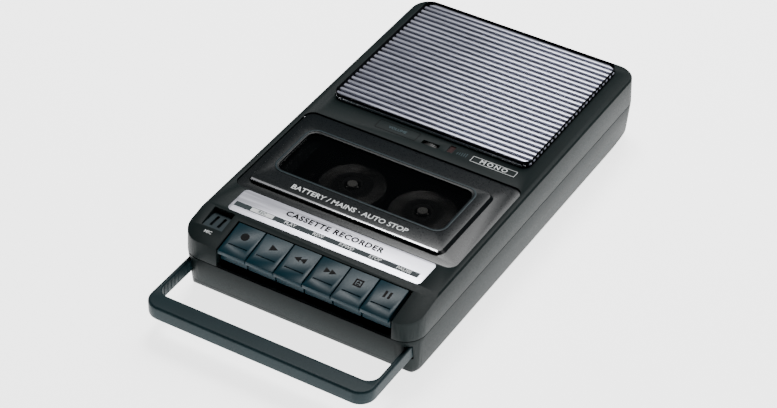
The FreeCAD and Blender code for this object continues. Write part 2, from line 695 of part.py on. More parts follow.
def make_reels():
    for name, x in zip(("supply", "takeup"), reel_centres):
        table_z = chassis_top_z + 0.6
        low = take_belt_z + 2.4 if name == "supply" else take_belt_z
        shaft = rod(reel_shaft_radius, table_z - low, x, hub_y, low)
        table = rod(13.0, 1.4, x, hub_y, table_z)
        spindle = rod(spindle_radius, cassette_top_z - 1.2 - table_z, x, hub_y, table_z)
        table = table.fuse(shaft).fuse(spindle)
        for step in range(3):
            vane = box(0, spindle_radius + 1.0, -0.5, 0.5, cassette_bottom_z, cassette_top_z - 2.2)
            vane.rotate(Vec(0, 0, 0), Z_DIR, 120.0 * step)
            vane.translate(Vec(x, hub_y, 0))
            table = table.fuse(vane)
        if name == "takeup":
            table = table.fuse(rod(take_pulley_radius, 2.2, x, hub_y, take_belt_z))
        save(name + "_reel_table", table.removeSplitter())
        hub_z = tape_z - tape_width / 2
        hub = tube(hub_radius, hub_bore, tape_width, x, hub_y, hub_z)
        for step in range(6):
            tooth = box(hub_bore - 0.7, hub_bore + 0.3, -0.5, 0.5, hub_z, hub_z + tape_width)
            tooth.rotate(Vec(0, 0, 0), Z_DIR, 60.0 * step + 30.0)
            tooth.translate(Vec(x, hub_y, 0))
            hub = hub.fuse(tooth)
        save(name + "_tape_hub", hub.removeSplitter())
        save(name + "_tape_pack", tube(pack_radius, hub_radius + shaft_clearance, tape_width - 0.2, x, hub_y,
                                       hub_z + 0.1))


def make_cassette():
    x0, x1 = deck_centre_x - cassette_width / 2, deck_centre_x + cassette_width / 2
    y0, y1 = cassette_front_y, cassette_front_y + cassette_length
    w = cassette_wall
    shell = rounded_block(x0, x1, y0, y1, cassette_bottom_z, cassette_top_z, 2.0)
    thick_in = 14.0
    shell = shell.fuse(box(x0 + thick_in, x1 - thick_in, y0, y0 + cassette_thick_length,
                           cassette_bottom_z - cassette_extra, cassette_bottom_z + w))
    shell = shell.cut(box(x0 + w, x1 - w, y0 + w, y1 - w, cassette_bottom_z + w, cassette_top_z - w))
    for x in reel_centres:
        shell = shell.cut(rod(5.4, 30.0, x, hub_y, cassette_bottom_z - 5.0))
    for x in (capstan_x, 2 * deck_centre_x - capstan_x):
        shell = shell.cut(rod(3.0, 30.0, x, capstan_y, cassette_bottom_z - 5.0))
        shell = shell.cut(box(x - pinch_radius - 1.4, x + pinch_radius + 1.4, y0 - 1, y0 + 3.4,
                              cassette_bottom_z - 3.0, cassette_top_z - w))
    shell = shell.cut(box(deck_centre_x - 17.5, deck_centre_x + 9.0, y0 - 1, y0 + 5.0,
                          cassette_bottom_z - 3.0, cassette_top_z - w))
    save("tape_cassette", shell.removeSplitter())


def belt_loop(x0, y0, r0, x1, y1, r1, thickness, z0, z1):
    """Closed flat belt round two pulleys of radius r0 and r1."""
    outer = loop_solid(x0, y0, r0 + thickness, x1, y1, r1 + thickness, z0, z1)
    return outer.cut(loop_solid(x0, y0, r0, x1, y1, r1, z0 - 1, z1 + 1))


def loop_solid(x0, y0, r0, x1, y1, r1, z0, z1):
    reach = math.hypot(x1 - x0, y1 - y0)
    line = math.atan2(y1 - y0, x1 - x0)
    lean = math.acos((r0 - r1) / reach)
    left, right = line + lean, line - lean

    def on(x, y, r, a):
        return Vec(x + r * math.cos(a), y + r * math.sin(a), z0)
    edges = [
        Part.LineSegment(on(x0, y0, r0, right), on(x1, y1, r1, right)),
        Part.Arc(on(x1, y1, r1, right), on(x1, y1, r1, line), on(x1, y1, r1, left)),
        Part.LineSegment(on(x1, y1, r1, left), on(x0, y0, r0, left)),
        Part.Arc(on(x0, y0, r0, left), on(x0, y0, r0, line + math.pi), on(x0, y0, r0, right)),
    ]
    return Part.Face(Part.Wire([edge.toShape() for edge in edges])).extrude(Vec(0, 0, z1 - z0))


def make_drive():
    wheel = rod(flywheel_radius, flywheel_height, capstan_x, capstan_y, flywheel_z)
    hub_height = take_belt_z + 2.2 - flywheel_z
    wheel = wheel.fuse(rod(flywheel_hub_radius, hub_height, capstan_x, capstan_y, flywheel_z))
    wheel = wheel.cut(rod(capstan_radius, 40.0, capstan_x, capstan_y, flywheel_z - 5.0))
    save("flywheel", wheel.removeSplitter())
    save("capstan_shaft", rod(capstan_radius, cassette_top_z - 2.0 - flywheel_z + 1.0, capstan_x, capstan_y,
                              flywheel_z - 1.0))
    motor = rod(motor_radius, motor_height, motor_x, motor_y, motor_z)
    motor = motor.cut(rod(1.05, 6.0, motor_x, motor_y, motor_z - 1.0))
    save("drive_motor", motor)
    pulley = rod(pulley_radius, 3.4, motor_x, motor_y, main_belt_z - 0.9)
    for z in (main_belt_z - 0.9, main_belt_z + belt_width + 0.2):
        pulley = pulley.fuse(rod(pulley_radius + 1.0, 0.7, motor_x, motor_y, z))
    pulley = pulley.fuse(rod(1.0, 5.0, motor_x, motor_y, main_belt_z))
    save("motor_pulley", pulley.removeSplitter())
    save("drive_belt", belt_loop(capstan_x, capstan_y, flywheel_radius + 0.05, motor_x, motor_y,
                                 pulley_radius + 0.05, 0.8, main_belt_z, main_belt_z + belt_width))
    save("takeup_belt", belt_loop(capstan_x, capstan_y, flywheel_hub_radius + 0.05, reel_centres[1], hub_y,
                                  take_pulley_radius + 0.05, 0.8, take_belt_z + 0.3, take_belt_z + 1.9))


def make_heads():
    save("head_bridge", box(deck_centre_x - 18.5, deck_centre_x + 12.5, head_rear_y - 1.8,
                            cassette_front_y - 0.6, bridge_z, bridge_z + bridge_thickness))
    base = bridge_z + bridge_thickness
    top = tape_z + head_half_height
    middle = deck_centre_x + head_shift
    head = box(middle - head_half_width, middle + head_half_width, head_rear_y, cassette_front_y - 2.4, base,
               top)
    nose_y = cassette_front_y - nose_radius - 0.5
    nose = rod(nose_radius, 2 * head_half_height, middle, nose_y, tape_z - head_half_height)
    nose = nose.common(box(middle - nose_half_width, middle + nose_half_width, cassette_front_y - 3.0,
                           cassette_front_y, 0, deck_z))
    save("record_play_head", head.fuse(nose).removeSplitter())
    erase_x = deck_centre_x + erase_shift
    save("erase_head", box(erase_x - erase_half_width, erase_x + erase_half_width, head_rear_y + 1.0,
                           cassette_front_y - 0.9, base, top - 1.0))
    arm_z = chassis_top_z + 0.9
    arm = loop_solid(pinch_pivot_x, pinch_pivot_y, 3.0, capstan_x, pinch_y, 2.4, arm_z, arm_z + 1.4)
    arm = arm.cut(rod(pinch_post_radius + shaft_clearance, 5.0, pinch_pivot_x, pinch_pivot_y, arm_z - 2.0))
    arm = arm.fuse(rod(pinch_spindle_radius, tape_z + 3.2 - arm_z, capstan_x, pinch_y, arm_z))
    save("pinch_arm", arm.removeSplitter())
    save("pinch_roller", tube(pinch_radius, pinch_spindle_radius + shaft_clearance, pinch_length, capstan_x,
                              pinch_y, tape_z - pinch_length / 2))
    save("pinch_pivot_post", rod(pinch_post_radius, 6.0, pinch_pivot_x, pinch_pivot_y, chassis_top_z))


# electrics
transformer_x, transformer_y = -half_width + 27.5, bay_y + 22.0
board_edge = 3.0
board_x0, board_x1 = board_hole_x0 - board_edge, board_hole_x1 + board_edge
board_y0, board_y1 = board_hole_y0 - board_edge, board_hole_y1 + board_edge


def make_electrics():
    low = floor_z + wall
    half_x, half_y = transformer_width / 2, transformer_length / 2
    core = box(transformer_x - half_x, transformer_x + half_x, transformer_y - half_y + 5.0,
               transformer_y + half_y - 5.0, low, low + transformer_height)
    coil = box(transformer_x - half_x + 4.0, transformer_x + half_x - 4.0, transformer_y - half_y,
               transformer_y + half_y, low + 4.0, low + transformer_height - 4.0)
    save("power_transformer", core.fuse(coil).removeSplitter())
    inlet = inlet_block(0).common(box(-200, 200, 0, rear_y - 1.2, 0, 100))
    mouth = box(inlet_x - inlet_mouth_half_x, inlet_x + inlet_mouth_half_x, rear_y - inlet_depth + 3.0,
                rear_y, inlet_z - inlet_mouth_half_z, inlet_z + inlet_mouth_half_z)
    inlet = inlet.cut(mouth)
    for x in (inlet_x - 2.4, inlet_x + 2.4):
        inlet = inlet.fuse(rod(1.1, 5.0, x, rear_y - inlet_depth + 1.0, inlet_z, Y_DIR))
    save("mains_inlet", inlet.removeSplitter())
    inner_x = -half_width + wall + 1.5
    jacks = []
    for bore, y in jack_places:
        jack = box(inner_x, inner_x + jack_length, y - 4.2, y + 4.2, jack_z - 4.2, jack_z + 4.2)
        jack = jack.fuse(rod(bore + 0.45, jack_nose, inner_x - jack_nose, y, jack_z, X_DIR))
        jack = jack.cut(rod(bore, jack_length + jack_nose - 1.5, inner_x - jack_nose, y, jack_z, X_DIR))
        jacks.append(jack.removeSplitter())
    save("audio_jacks", group(jacks))
    board = box(board_x0, board_x1, board_y0, board_y1, board_z, board_z + board_thickness)
    for x, y in board_screw_places:
        board = board.cut(rod(1.2, 5.0, x, y, board_z - 2.0))
    save("circuit_board", board)
    top = board_z + board_thickness
    chips = [box(board_x0 + 8, board_x0 + 22, board_y0 + 7, board_y0 + 13, top, top + 3.2),
             box(board_x0 + 22, board_x0 + 29, board_y0 + 16, board_y0 + 23, top, top + 8.0)]
    for step in range(3):
        chips.append(rod(2.5, 9.0, board_x0 + 6 + 6.5 * step, board_y0 + 19.5, top))
    save("board_components", group(chips))
    wheel = rod(wheel_radius, wheel_width, wheel_x, wheel_y - wheel_width / 2, wheel_z, Y_DIR)
    for step in range(wheel_notches):
        notch = box(-0.25, 0.25, -wheel_width, wheel_width, wheel_radius - 0.4, wheel_radius + 1.0)
        notch.rotate(Vec(0, 0, 0), Y_DIR, 360.0 * step / wheel_notches)
        notch.translate(Vec(wheel_x, wheel_y, wheel_z))
        wheel = wheel.cut(notch)
    wheel = wheel.fuse(rod(1.5, 5.0, wheel_x, wheel_y, wheel_z, Y_DIR))
    save("volume_wheel", wheel.removeSplitter())
    pot = box(wheel_x - 6.0, wheel_x + 6.0, wheel_y + 1.6, wheel_y + 7.6, wheel_z - 6.0, deck_z - wall - 0.2)
    pot = pot.cut(rod(1.5 + shaft_clearance, 5.0, wheel_x, wheel_y + 1.0, wheel_z, Y_DIR))
    save("volume_control", pot)
    contacts = []
    first = bay_y - cell_count * cell_diameter / 2
    for index in range(cell_count):
        y = first + (index + 0.5) * cell_diameter
        z = bay_top_z - cell_diameter / 2
        for side in (-1, 1):
            x0, x1 = sorted([side * bay_half_x, side * (bay_half_x - contact_thickness)])
            contacts.append(box(x0, x1, y - 4.5, y + 4.5, z - 4.5, z + 4.5))
    save("battery_contacts", group(contacts))


def make_battery_cover():
    x1 = bay_half_x - fit_gap
    axis_z = floor_z + 1.0
    plate = box(-x1, x1, cover_hinge_y, bay_y + bay_half_y - fit_gap, floor_z, floor_z + 2.0)
    plate = plate.fuse(rod(1.0, 2 * x1, -x1, cover_hinge_y, axis_z, X_DIR))
    for index in range(5):
        y = bay_y + 8.0 + 2.4 * index
        plate = plate.cut(box(-9.0, 9.0, y, y + 1.0, floor_z - 1.0, floor_z + 0.5))
    save("battery_cover", plate.removeSplitter())


def make_fasteners():
    screws = []
    for x, y in screw_places:
        screw = rod(screw_radius, seam_z + 6.0 - floor_z - 1.0, x, y, floor_z + 1.0)
        screw = screw.fuse(rod(screw_head_radius, 1.9, x, y, floor_z + 0.5))
        slot = box(x - 0.35, x + 0.35, y - 1.9, y + 1.9, floor_z, floor_z + 1.3)
        cross = box(x - 1.9, x + 1.9, y - 0.35, y + 0.35, floor_z, floor_z + 1.3)
        screws.append(screw.cut(slot).cut(cross).removeSplitter())
    save("case_screws", group(screws))
    small = []
    for x, y in board_screw_places:
        shank = rod(board_screw_radius, 5.4, x, y, board_z - 3.6)
        small.append(shank.fuse(rod(2 * board_screw_radius, 1.2, x, y, board_z + board_thickness)))
    save("board_screws", group(small))
    feet = []
    for x, y in foot_places:
        foot = rod(foot_radius, foot_height + foot_sink, x, y, 0)
        rim = [edge for edge in foot.Edges if edge.BoundBox.ZMax < 0.01]
        feet.append(foot.makeFillet(0.6, rim))
    save("rubber_feet", group(feet))


for make in (make_lower_shell, make_upper_shell, make_grille, make_speaker, make_trim_pieces, make_handle,
             make_lid, make_keys, make_key_supports, make_chassis, make_reels, make_cassette, make_drive,
             make_heads, make_electrics, make_battery_cover, make_fasteners):
    make()
    print(make.__name__, "done")
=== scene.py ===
import bpy
import json
import math
from mathutils import Matrix, Vector

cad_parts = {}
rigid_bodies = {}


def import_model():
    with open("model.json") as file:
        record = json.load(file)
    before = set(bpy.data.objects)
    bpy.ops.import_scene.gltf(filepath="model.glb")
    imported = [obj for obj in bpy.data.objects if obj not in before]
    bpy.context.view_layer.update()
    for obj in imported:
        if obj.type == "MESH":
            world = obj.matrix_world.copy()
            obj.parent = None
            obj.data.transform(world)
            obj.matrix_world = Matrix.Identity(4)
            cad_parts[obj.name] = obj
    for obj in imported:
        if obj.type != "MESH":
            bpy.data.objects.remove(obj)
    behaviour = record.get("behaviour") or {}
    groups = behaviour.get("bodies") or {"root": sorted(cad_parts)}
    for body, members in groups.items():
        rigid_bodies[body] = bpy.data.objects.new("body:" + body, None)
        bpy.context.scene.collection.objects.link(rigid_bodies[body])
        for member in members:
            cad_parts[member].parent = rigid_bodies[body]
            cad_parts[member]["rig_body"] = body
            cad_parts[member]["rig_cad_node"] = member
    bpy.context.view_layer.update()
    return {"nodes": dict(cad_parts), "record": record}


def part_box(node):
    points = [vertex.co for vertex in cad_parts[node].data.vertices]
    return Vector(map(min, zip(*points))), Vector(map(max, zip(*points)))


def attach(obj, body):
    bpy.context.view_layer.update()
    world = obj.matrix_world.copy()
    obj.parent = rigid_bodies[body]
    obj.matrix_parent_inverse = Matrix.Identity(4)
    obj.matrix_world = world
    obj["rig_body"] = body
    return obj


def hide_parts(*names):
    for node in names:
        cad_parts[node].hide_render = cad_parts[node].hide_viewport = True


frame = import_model()
nodes = frame["nodes"]
print("frame loaded:", len(nodes), "parts")


def clearSelection():
    bpy.ops.object.select_all(action="DESELECT")


def pick(obj):
    clearSelection()
    bpy.context.view_layer.objects.active = obj
    obj.select_set(True)


def editAll(obj):
    pick(obj)
    bpy.ops.object.mode_set(mode="EDIT")
    bpy.ops.mesh.select_all(action="SELECT")


def leaveEdit():
    bpy.ops.object.mode_set(mode="OBJECT")


def bakePlace(obj):  # the place goes into the mesh
    pick(obj)
    bpy.ops.object.transform_apply(location=True, rotation=True, scale=True)


def applyBevel(obj, width, segments=2, angle=40.0):
    pick(obj)
    mod = obj.modifiers.new("edge", "BEVEL")
    mod.width = width
    mod.segments = segments
    mod.limit_method = "ANGLE"
    mod.angle_limit = math.radians(angle)
    bpy.ops.object.modifier_apply(modifier=mod.name)


def smooth(obj, angle=35.0):
    pick(obj)
    bpy.ops.object.shade_smooth_by_angle(angle=math.radians(angle))


def settle(obj, body, material, slotName, *stoodFor):
    obj.data.materials.clear()
    obj.data.materials.append(material)
    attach(obj, body)
    if stoodFor:
        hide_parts(*stoodFor)


def joinAll(pieces, name):
    clearSelection()
    for piece in pieces:
        piece.select_set(True)
    bpy.context.view_layer.objects.active = pieces[0]
    if len(pieces) > 1:
        bpy.ops.object.join()
    pieces[0].name = name
    return pieces[0]


def slab(name, low, high, edge=0.0003, segments=2):  # a block with its edges taken off
    size = [b - a for a, b in zip(low, high)]
    middle = [(a + b) / 2 for a, b in zip(low, high)]
    clearSelection()
    bpy.ops.mesh.primitive_cube_add(size=1, location=middle)
    obj = bpy.context.object
    obj.name = name
    obj.scale = size
    bakePlace(obj)
    if edge > 0:
        applyBevel(obj, edge, segments)
    return obj


def softCopy(nodeName, name, width, segments=2, angle=40.0):  # CAD shape with its sharp edges rounded
    pick(nodes[nodeName])
    bpy.ops.object.duplicate(linked=False)
    obj = bpy.context.object
    obj.name = name
    obj.parent = None
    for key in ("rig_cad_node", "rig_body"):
        if key in obj:
            del obj[key]
    editAll(obj)
    bpy.ops.mesh.remove_doubles(threshold=0.000002)
    bpy.ops.mesh.dissolve_limited(angle_limit=math.radians(0.8))
    leaveEdit()
    applyBevel(obj, width, segments, angle)
    smooth(obj, 32)
    return obj


def words(text, name, size, centre, thick=0.00006, tilt=0.0, spacing=1.0, weight=0.012):
    clearSelection()
    bpy.ops.object.text_add(location=(0, 0, 0))
    obj = bpy.context.object
    obj.data.body = text
    obj.data.size = size
    obj.data.align_x = "CENTER"
    obj.data.align_y = "CENTER"
    obj.data.space_character = spacing
    obj.data.extrude = thick
    obj.data.offset = size * weight
    obj.data.resolution_u = 3
    bpy.ops.object.convert(target="MESH")
    obj = bpy.context.object
    obj.name = name
    obj.rotation_euler = (tilt, 0, 0)
    obj.location = centre
    bakePlace(obj)
    return obj


def startMaterial(name):
    mat = bpy.data.materials.new(name)
    mat.use_nodes = True
    tree = mat.node_tree
    shader = tree.nodes["Principled BSDF"]
    place = tree.nodes.new("ShaderNodeTexCoord")
    return mat, tree, shader, place.outputs["Object"]


def noiseNode(tree, place, scale, detail=3.0, stretch=None):
    if stretch:
        mapping = tree.nodes.new("ShaderNodeMapping")
        mapping.inputs["Scale"].default_value = stretch
        tree.links.new(place, mapping.inputs["Vector"])
        place = mapping.outputs["Vector"]
    noise = tree.nodes.new("ShaderNodeTexNoise")
    noise.inputs["Scale"].default_value = scale
    noise.inputs["Detail"].default_value = detail
    tree.links.new(place, noise.inputs["Vector"])
    return noise.outputs["Fac"]


def spread(tree, source, low, high, fromLow=0.3, fromHigh=0.7):
    node = tree.nodes.new("ShaderNodeMapRange")
    node.inputs["From Min"].default_value = fromLow
    node.inputs["From Max"].default_value = fromHigh
    node.inputs["To Min"].default_value = low
    node.inputs["To Max"].default_value = high
    tree.links.new(source, node.inputs["Value"])
    return node.outputs["Result"]


def tint(tree, source, dark, light):
    ramp = tree.nodes.new("ShaderNodeValToRGB")
    ramp.color_ramp.elements[0].position = 0.35
    ramp.color_ramp.elements[1].position = 0.68
    ramp.color_ramp.elements[0].color = (*dark, 1)
    ramp.color_ramp.elements[1].color = (*light, 1)
    tree.links.new(source, ramp.inputs["Fac"])
    return ramp.outputs["Color"]


def addBump(tree, shader, source, strength, depth):
    bump = tree.nodes.new("ShaderNodeBump")
    bump.inputs["Strength"].default_value = strength
    bump.inputs["Distance"].default_value = depth
    tree.links.new(source, bump.inputs["Height"])
    tree.links.new(bump.outputs["Normal"], shader.inputs["Normal"])


def shades(colour, amount):
    return [max(0.0, c * (1 - amount)) for c in colour], [min(1.0, c * (1 + amount)) for c in colour]


def moulded(name, colour, rough, grain=1800.0, bump=0.25, depth=0.00005, vary=0.12, coat=0.0, level=0.5):
    # moulded plastic: cloudy colour, fine spark-eroded grain
    mat, tree, shader, place = startMaterial(name)
    dark, light = shades(colour, vary)
    tree.links.new(tint(tree, noiseNode(tree, place, 45.0), dark, light), shader.inputs["Base Color"])
    fine = noiseNode(tree, place, grain, 2.0)
    tree.links.new(spread(tree, fine, rough * 0.88, min(1.0, rough * 1.12)), shader.inputs["Roughness"])
    addBump(tree, shader, fine, bump, depth)
    shader.inputs["Coat Weight"].default_value = coat
    shader.inputs["Coat Roughness"].default_value = 0.25
    shader.inputs["Specular IOR Level"].default_value = level
    return mat


def brushed(name, colour, rough, stretch, metal=1.0, scale=500.0, vary=0.07, bump=0.12):
    # metal with long fine scratches along one direction
    mat, tree, shader, place = startMaterial(name)
    dark, light = shades(colour, vary)
    lines = noiseNode(tree, place, scale, 4.0, stretch)
    tree.links.new(tint(tree, lines, dark, light), shader.inputs["Base Color"])
    tree.links.new(spread(tree, lines, rough * 0.8, min(1.0, rough * 1.25)), shader.inputs["Roughness"])
    addBump(tree, shader, lines, bump, 0.00003)
    shader.inputs["Metallic"].default_value = metal
    return mat


def seeThrough(name, colour, rough, alpha):  # smoked clear plastic
    mat, tree, shader, place = startMaterial(name)
    dark, light = shades(colour, 0.15)
    tree.links.new(tint(tree, noiseNode(tree, place, 40.0), dark, light), shader.inputs["Base Color"])
    fine = noiseNode(tree, place, 700.0, 2.0)
    tree.links.new(spread(tree, fine, rough * 0.8, rough * 1.3), shader.inputs["Roughness"])
    shader.inputs["Alpha"].default_value = alpha
    return mat


def woundTape(name, colour, centre):  # fine rings round the hub, with the sheen of their grooves
    mat, tree, shader, place = startMaterial(name)
    mapping = tree.nodes.new("ShaderNodeMapping")
    mapping.inputs["Location"].default_value = (-centre[0], -centre[1], 0)
    tree.links.new(place, mapping.inputs["Vector"])
    rings = tree.nodes.new("ShaderNodeTexWave")
    rings.wave_type = "RINGS"
    rings.rings_direction = "Z"
    rings.inputs["Scale"].default_value = 900.0
    rings.inputs["Distortion"].default_value = 0.6
    tree.links.new(mapping.outputs["Vector"], rings.inputs["Vector"])
    dark, light = shades(colour, 0.25)
    tree.links.new(tint(tree, rings.outputs["Fac"], dark, light), shader.inputs["Base Color"])
    addBump(tree, shader, rings.outputs["Fac"], 0.3, 0.00004)
    shader.inputs["Roughness"].default_value = 0.22
    shader.inputs["Anisotropic"].default_value = 0.9
    shader.inputs["Metallic"].default_value = 0.6
    radial = tree.nodes.new("ShaderNodeVectorMath")
    radial.operation = "MULTIPLY"
    radial.inputs[1].default_value = (1, 1, 0)
    tree.links.new(mapping.outputs["Vector"], radial.inputs[0])
    tree.links.new(radial.outputs["Vector"], shader.inputs["Tangent"])
    return mat


finishes = {
    "case": moulded("caseCharcoal", (0.0030, 0.0080, 0.0082), 0.50, 1500, 0.35, 0.00006, level=0.12),
    "handle": moulded("handleCharcoal", (0.0055, 0.0180, 0.0220), 0.46, 1500, 0.35, 0.00006, level=0.14),
    "keys": moulded("keyTeal", (0.0035, 0.0230, 0.0330), 0.36, 1700, 0.25, level=0.16),
    "mic_trim": moulded("micTrim", (0.006, 0.018, 0.023), 0.42, level=0.25),
    "lid": moulded("lidBlack", (0.0025, 0.0045, 0.0055), 0.30, 1200, 0.08, level=0.35, coat=0.25),
    "window": seeThrough("windowSmoke", (0.001, 0.0012, 0.0013), 0.06, 0.55),
    "grille": brushed("grilleSilver", (0.46, 0.47, 0.56), 0.34, (0.06, 1, 1), 0.75),
    "label": brushed("labelSilver", (0.72, 0.72, 0.80), 0.34, (0.03, 1, 1), 0.6, 900, 0.05),
    # silver of the lid trim strip; also laid on the grille's front band as a painted highlight, standing
    # for light caught by its face
    "bright_trim": brushed("trimSilverAndBandHighlight", (0.82, 0.82, 0.85), 0.25, (0.03, 1, 1), 0.8),
    "lamp": moulded("lampRed", (0.020, 0.003, 0.003), 0.2, 900, 0.05, coat=0.8),
    "steel": brushed("groundSteel", (0.55, 0.55, 0.57), 0.3, (1, 1, 0.1)),
    "spring_steel": brushed("springSteel", (0.5, 0.5, 0.5), 0.3, (1, 1, 0.1)),
    "plated_sheet": brushed("zincSheet", (0.6, 0.59, 0.55), 0.42, (0.1, 1, 1)),
    "bronze": brushed("sinteredBronze", (0.6, 0.4, 0.2), 0.45, (1, 1, 0.3)),
    "flywheel_metal": brushed("turnedSteel", (0.5, 0.5, 0.5), 0.3, (1, 1, 0.05)),
    "motor_can": brushed("drawnCan", (0.55, 0.55, 0.54), 0.35, (1, 1, 0.08)),
    "white_plastic": moulded("whiteNylon", (0.62, 0.61, 0.57), 0.4, 900, 0.1),
    "hubGrey": moulded("hubGrey", (0.06, 0.06, 0.058), 0.4, 900, 0.1),
    "clear_shell": seeThrough("cassetteSmoke", (0.012, 0.013, 0.014), 0.12, 0.16),
    "belt_rubber": moulded("blackRubber", (0.012, 0.012, 0.012), 0.75, 1200, 0.5),
    "head_metal": brushed("headMetal", (0.7, 0.7, 0.72), 0.2, (1, 0.1, 1)),
    "cone_paper": moulded("pressedPaper", (0.02, 0.02, 0.02), 0.85, 700, 0.8, 0.0002),
    "magnet": moulded("ferrite", (0.05, 0.05, 0.055), 0.6, 800, 0.3),
    "transformer": brushed("laminations", (0.25, 0.2, 0.15), 0.55, (1, 1, 0.05), 0.4),
    "black_moulding": moulded("blackMoulding", (0.012, 0.012, 0.012), 0.5),
    "board": moulded("phenolicBoard", (0.16, 0.08, 0.025), 0.5, 600, 0.2),
    "components": moulded("chipBody", (0.015, 0.015, 0.016), 0.45),
    "printWhite": moulded("whitePrint", (0.72, 0.74, 0.74), 0.5, 2500, 0.1),
    "printBlack": moulded("blackPrint", (0.001, 0.0012, 0.0015), 0.6, 2500, 0.1, level=0.1),
    "printGrey": moulded("greyPrint", (0.05, 0.08, 0.09), 0.5, 2500, 0.1, level=0.2),
    "cloth": moulded("grilleCloth", (0.002, 0.0025, 0.004), 0.9, 2500, 0.8, 0.0001, level=0.1),
    "stripDark": moulded("stripDark", (0.012, 0.022, 0.026), 0.45, 2500, 0.1, level=0.25),
}
slotOfNode = {row["node"]: row["material_slot"] for row in frame["record"]["subparts"]}
for nodeName, obj in nodes.items():
    slotName = slotOfNode[nodeName]
    if slotName != "tape":
        obj.data.materials.clear()
        obj.data.materials.append(finishes[slotName])
for reel in ("supply", "takeup"):
    low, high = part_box(reel + "_tape_pack")
    pack = nodes[reel + "_tape_pack"]
    nodes[reel + "_tape_hub"].data.materials[0] = finishes["hubGrey"]
    pack.data.materials.clear()
    pack.data.materials.append(woundTape(reel + "TapeEdge", (0.46, 0.45, 0.43), ((low + high) / 2)[:2]))
print("finishes made")

cameraSetup = {
    "place": (0.5086, -0.8709, 0.8342), "azimuth": 30.61, "elevation": 39.07, "roll": 0.77, "lens": 113.39,
}
floorSetup = {"size": 9, "glow": 2.9, "dark": (0.93, 0.93, 0.93), "light": (0.95, 0.95, 0.95)}
worldSetup = {"colour": (0.7, 0.85, 1, 1), "strength": 0.03}
clearSelection()
bpy.ops.object.camera_add(location=(0, 0, 0))
camera = bpy.context.object
camera.name = "productCamera"
camera.data.lens = cameraSetup["lens"]
camera.data.sensor_width = 36.0
camera.data.clip_start = 0.01
turn = Matrix.Rotation(math.radians(cameraSetup["azimuth"]), 4, "Z")
tip = Matrix.Rotation(math.radians(90 - cameraSetup["elevation"]), 4, "X")
lean = Matrix.Rotation(math.radians(cameraSetup["roll"]), 4, "Z")
camera.matrix_world = Matrix.Translation(cameraSetup["place"]) @ turn @ tip @ lean
bpy.context.scene.camera = camera

bpy.ops.mesh.primitive_plane_add(size=floorSetup["size"], location=(0, 0, 0))
floor = bpy.context.object
floor.name = "paperFloor"
floorMat, floorTree, floorShader, floorPlace = startMaterial("whitePaper")
floorTint = tint(floorTree, noiseNode(floorTree, floorPlace, 6.0), floorSetup["dark"], floorSetup["light"])
floorTree.links.new(floorTint, floorShader.inputs["Base Color"])
floorShader.inputs["Roughness"].default_value = 0.9
floorTree.links.new(floorTint, floorShader.inputs["Emission Color"])
floorShader.inputs["Emission Strength"].default_value = floorSetup["glow"]
floor.data.materials.append(floorMat)

lampSetup = {
    "backSoftbox": {"place": (0.10, 0.95, 0.95), "aim": (0, 0, 0), "size": (0.80, 0.7), "power": 9},
    "topSoftbox": {"place": (-0.20, 0.38, 1.15), "aim": (0, 0, 0), "size": (0.45, 0.45), "power": 15},
    "rightFill": {"place": (1.5, 0.3, 0.6), "aim": (0.05, 0, 0.02), "size": (0.9, 0.9), "power": 3.5},
}
for lampName, setup in lampSetup.items():
    clearSelection()
    bpy.ops.object.light_add(type="AREA", location=setup["place"])
    light = bpy.context.object
    light.name = lampName
    light.data.shape = "RECTANGLE"
    light.data.size, light.data.size_y = setup["size"]
    light.data.energy = setup["power"]
    aim = Vector(setup["aim"]) - Vector(setup["place"])
    light.rotation_euler = aim.to_track_quat("-Z", "Y").to_euler()
world = bpy.data.worlds.new("studio")
bpy.context.scene.world = world
world.use_nodes = True
world.node_tree.nodes["Background"].inputs["Color"].default_value = worldSetup["colour"]
world.node_tree.nodes["Background"].inputs["Strength"].default_value = worldSetup["strength"]
print("camera and lights set")

casing = {"edge": 0.0005, "lowerEdge": 0.0005}
upperCase = softCopy("upper_shell", "upperCasing", casing["edge"])
settle(upperCase, "root", finishes["case"], "case", "upper_shell")
lowerCase = softCopy("lower_shell", "lowerCasing", casing["lowerEdge"])
settle(lowerCase, "root", finishes["case"], "case", "lower_shell")
print("casing done")

grilleLow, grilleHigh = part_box("speaker_grille")
grille = {
    "pitch": 0.00395, "gap": 0.0013, "band": 0.00158, "corner": 0.0052, "foot": 0.0009, "floor": 0.0011,
    "round": 0.0009, "bandRound": 0.0007, "lastSliver": 0.0015, "clothInset": 0.0004,
}


def grilleInset(y):  # how far a bar's end draws in where the corners are round
    inFrom = min(y - grilleLow.y, grilleHigh.y - y)
    if inFrom >= grille["corner"]:
        return 0.0
    drop = grille["corner"] - inFrom
    return grille["corner"] - math.sqrt(max(0.0, grille["corner"] ** 2 - drop ** 2))


def grilleBar(name, y0, y1, roundness):
    bar = slab(name, (grilleLow.x, y0, grilleLow.z + grille["foot"]), (grilleHigh.x, y1, grilleHigh.z), 0)
    for vertex in bar.data.vertices:
        inset = grilleInset(vertex.co.y)
        vertex.co.x += inset if vertex.co.x < 0 else -inset
    for edge in bar.data.edges:
        ends = [bar.data.vertices[v].co for v in edge.vertices]
        onTop = all(abs(p.z - grilleHigh.z) < 0.00001 for p in ends)
        upright = abs(ends[0].z - ends[1].z) > 0.001
        edge.select = onTop or upright
    pick(bar)
    bpy.ops.object.mode_set(mode="EDIT")
    bpy.ops.mesh.select_mode(type="EDGE")
    bpy.ops.mesh.bevel(offset=roundness, segments=3, profile=0.5, affect="EDGES")
    leaveEdit()
    return bar
